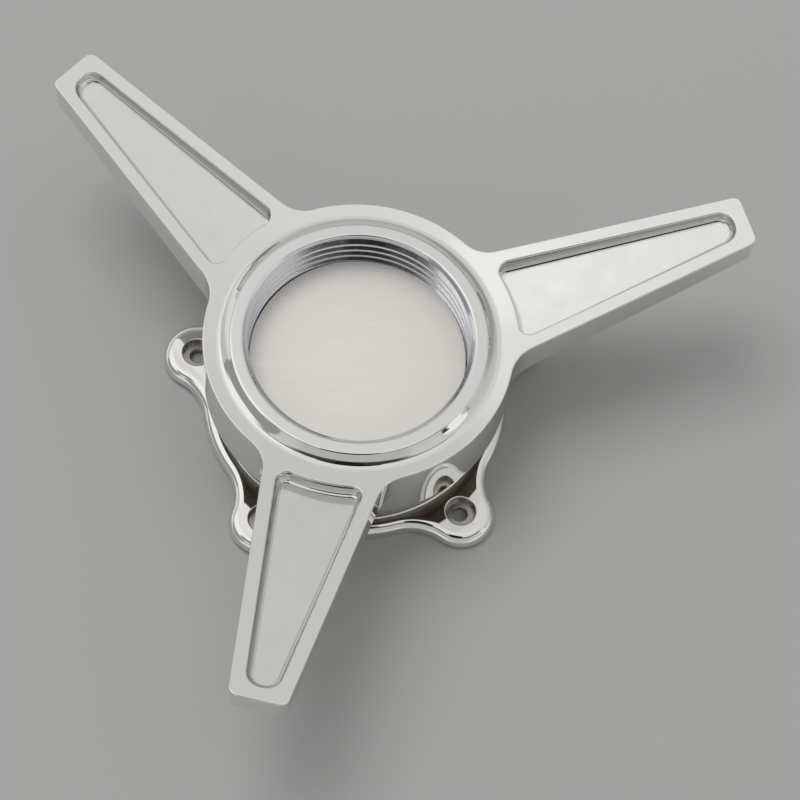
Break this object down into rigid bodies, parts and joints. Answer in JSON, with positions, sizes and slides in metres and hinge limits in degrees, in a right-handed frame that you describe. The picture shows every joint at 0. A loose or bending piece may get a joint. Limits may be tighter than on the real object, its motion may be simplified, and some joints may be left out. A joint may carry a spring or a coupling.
{
  "type": "spinner center cap",
  "caption": "Polished three-armed spinner that screws onto the nose of a bolted, lobed base to cover a wheel's centre.",
  "frame": {"origin": "centre of the screw circle on the base's flat mounting face", "axes": "+Z along the cap's axis, away from the wheel; +X along one arm of the spinner"},
  "size_m": [0.1801, 0.2072, 0.0545],
  "materials": {
    "polished_base": "mirror polished, with a fine brushed grain on the end of the nose",
    "polished_spinner": "mirror polished"
  },
  "bodies": {
    "base": {"mounting_base": "polished_base"},
    "spinner": {"spinner": "polished_spinner"}
  },
  "joints": [
    {"name": "spinner_unscrew", "type": "slide", "parent": "base", "child": "spinner", "axis": [0, 0, 1], "range_m": [0, 0.0113]}
  ]
}
